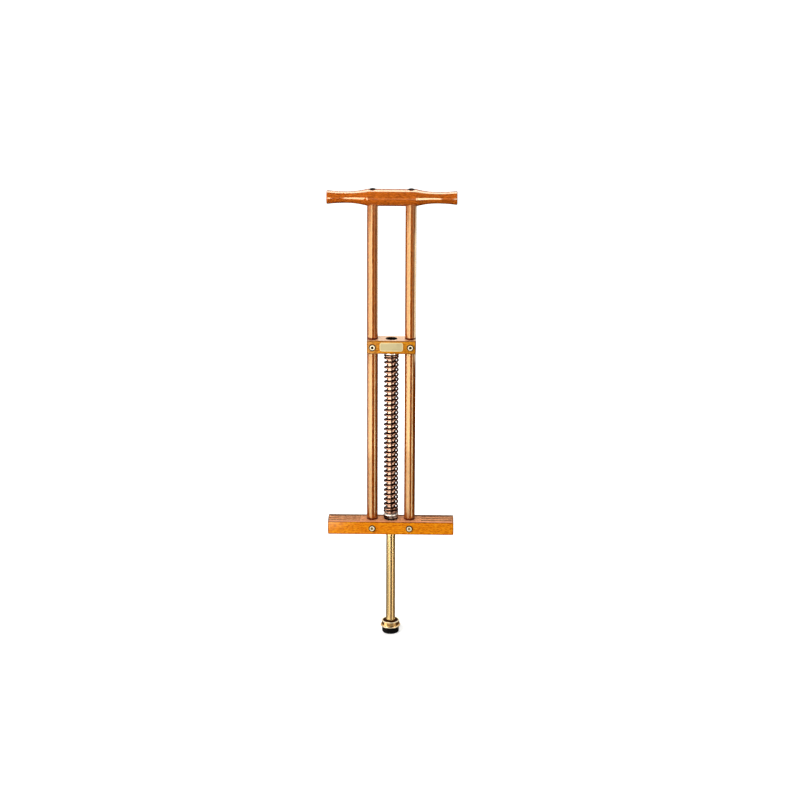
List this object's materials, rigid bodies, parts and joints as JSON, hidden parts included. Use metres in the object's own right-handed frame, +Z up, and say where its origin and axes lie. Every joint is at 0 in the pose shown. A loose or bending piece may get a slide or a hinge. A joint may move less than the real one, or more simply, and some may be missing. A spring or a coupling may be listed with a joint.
{
  "type": "pogo stick",
  "caption": "Wooden pogo stick: turned handlebar on twin dowel uprights, grooved footrest, and a sprung golden rod on a rubber foot.",
  "frame": {"origin": "centre of the rubber tip's flat lower face, where the stick stands", "axes": "+Z up along the rod, +X to the viewer's right along the handlebar, +Y away from the viewer to the back"},
  "size_m": [0.289, 0.0578, 1.0574],
  "materials": {
    "varnished_beech": "honey-stained hardwood under clear gloss varnish",
    "varnished_dowel": "pale hardwood dowel under clear gloss varnish",
    "nickel_steel": "nickel-plated steel, lightly worn",
    "blackened_steel": "oil-blackened steel",
    "spring_steel": "bright drawn spring steel with a warm tone",
    "zinc_washer": "zinc-plated steel",
    "golden_zinc": "golden passivated steel tube, polished by sliding",
    "plate_brass": "pale satin brass sheet, left bare",
    "ferrule_brass": "turned brass, tarnished in the corners",
    "black_nylon": "black nylon",
    "black_rubber": "moulded black rubber"
  },
  "bodies": {
    "frame": {"handlebar": "varnished_beech", "upper_block": "varnished_beech", "footrest": "varnished_beech", "left_upright": "varnished_dowel", "right_upright": "varnished_dowel", "handlebar_screw_left": "blackened_steel", "handlebar_screw_right": "blackened_steel", "block_bolt_left": "nickel_steel", "block_bolt_right": "nickel_steel", "block_nut_left": "nickel_steel", "block_nut_right": "nickel_steel", "footrest_bolt_left": "nickel_steel", "footrest_bolt_right": "nickel_steel", "footrest_nut_left": "nickel_steel", "footrest_nut_right": "nickel_steel", "name_plate": "plate_brass", "upper_guide_bush": "black_nylon", "lower_guide_bush": "black_nylon", "upper_spring_washer": "zinc_washer", "spring": "spring_steel"},
    "spring_seat": {"lower_spring_washer": "zinc_washer"},
    "plunger": {"plunger_rod": "golden_zinc", "rod_end_plug": "black_nylon", "stop_collar": "blackened_steel", "stop_pin": "blackened_steel", "stop_bumper": "black_rubber", "foot_ferrule": "ferrule_brass", "tip_washer": "zinc_washer", "rubber_tip": "black_rubber"}
  },
  "joints": [
    {"name": "plunger_slide", "type": "slide", "parent": "frame", "child": "spring_seat", "axis": [0, 0, 1], "range_m": [0, 0.18], "stiffness_N_per_m": 3500, "springref_m": -0.02, "deforming": ["spring"]},
    {"name": "rod_swivel", "type": "hinge", "parent": "spring_seat", "child": "plunger", "pos_m": [0, 0, 0], "axis": [0, 0, 1], "continuous": true}
  ]
}
